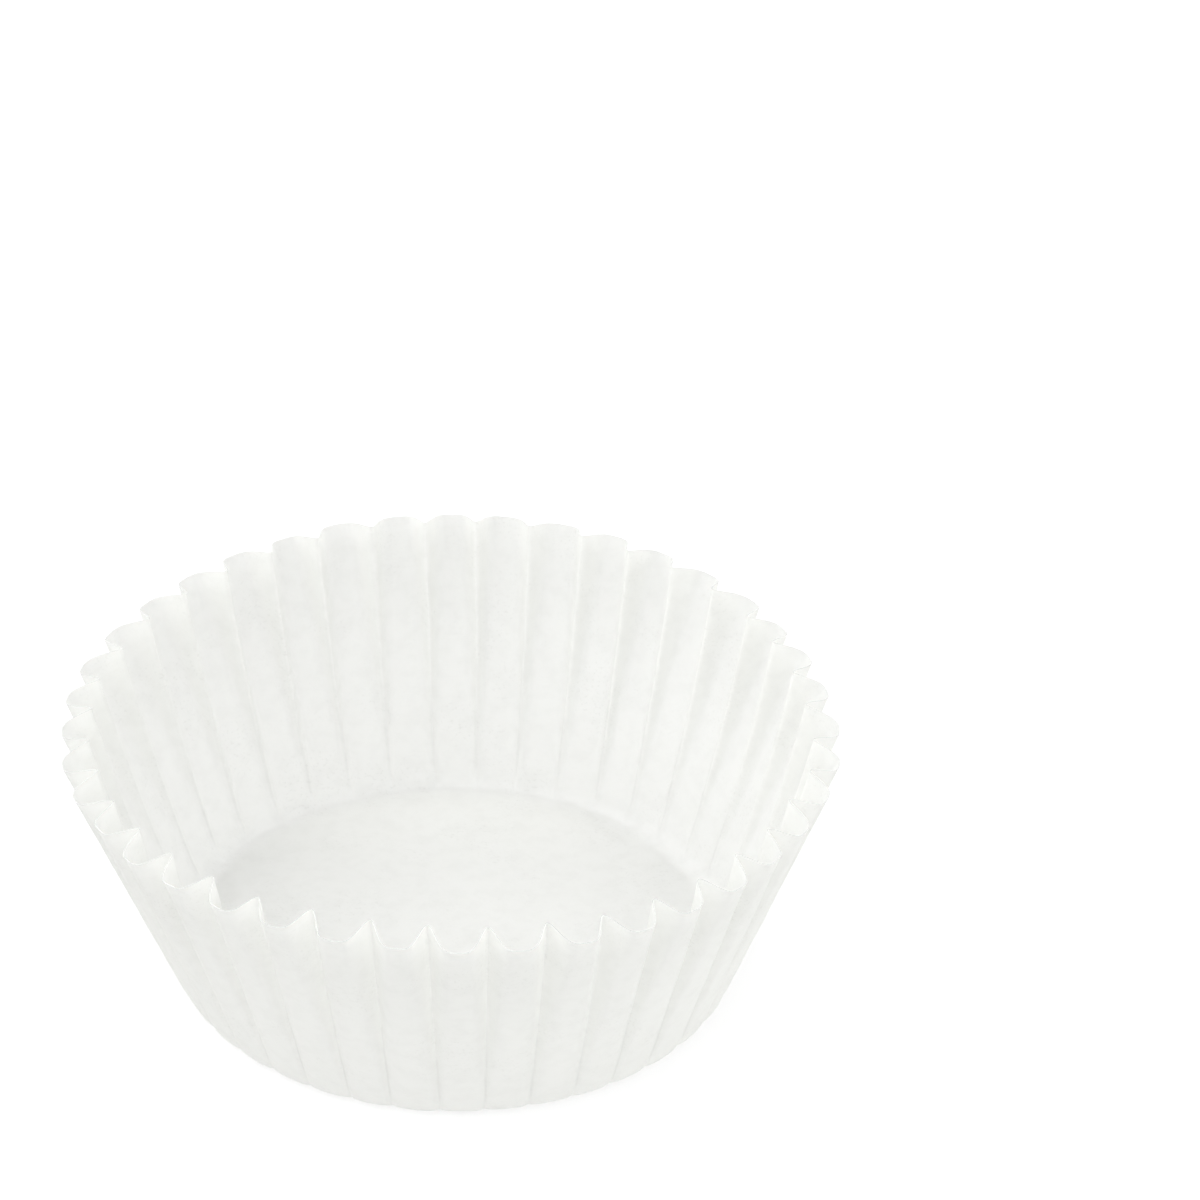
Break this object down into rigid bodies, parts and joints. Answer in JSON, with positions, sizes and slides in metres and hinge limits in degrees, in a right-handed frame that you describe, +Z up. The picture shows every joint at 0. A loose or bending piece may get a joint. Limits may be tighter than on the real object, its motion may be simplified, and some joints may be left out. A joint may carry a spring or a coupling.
{
  "type": "cupcake liner",
  "caption": "Round fluted paper baking case with a flat base and a flared, pleated wall, open at the top.",
  "frame": {"origin": "centre of the underside of the flat base", "axes": "+Z up along the cup's axis, through the open top; a flute crown lies on +X"},
  "size_m": [0.068, 0.068, 0.0243],
  "materials": {
    "paper": "matt white greaseproof paper, slightly translucent"
  },
  "bodies": {
    "root": {"liner": "paper"}
  },
  "joints": []
}
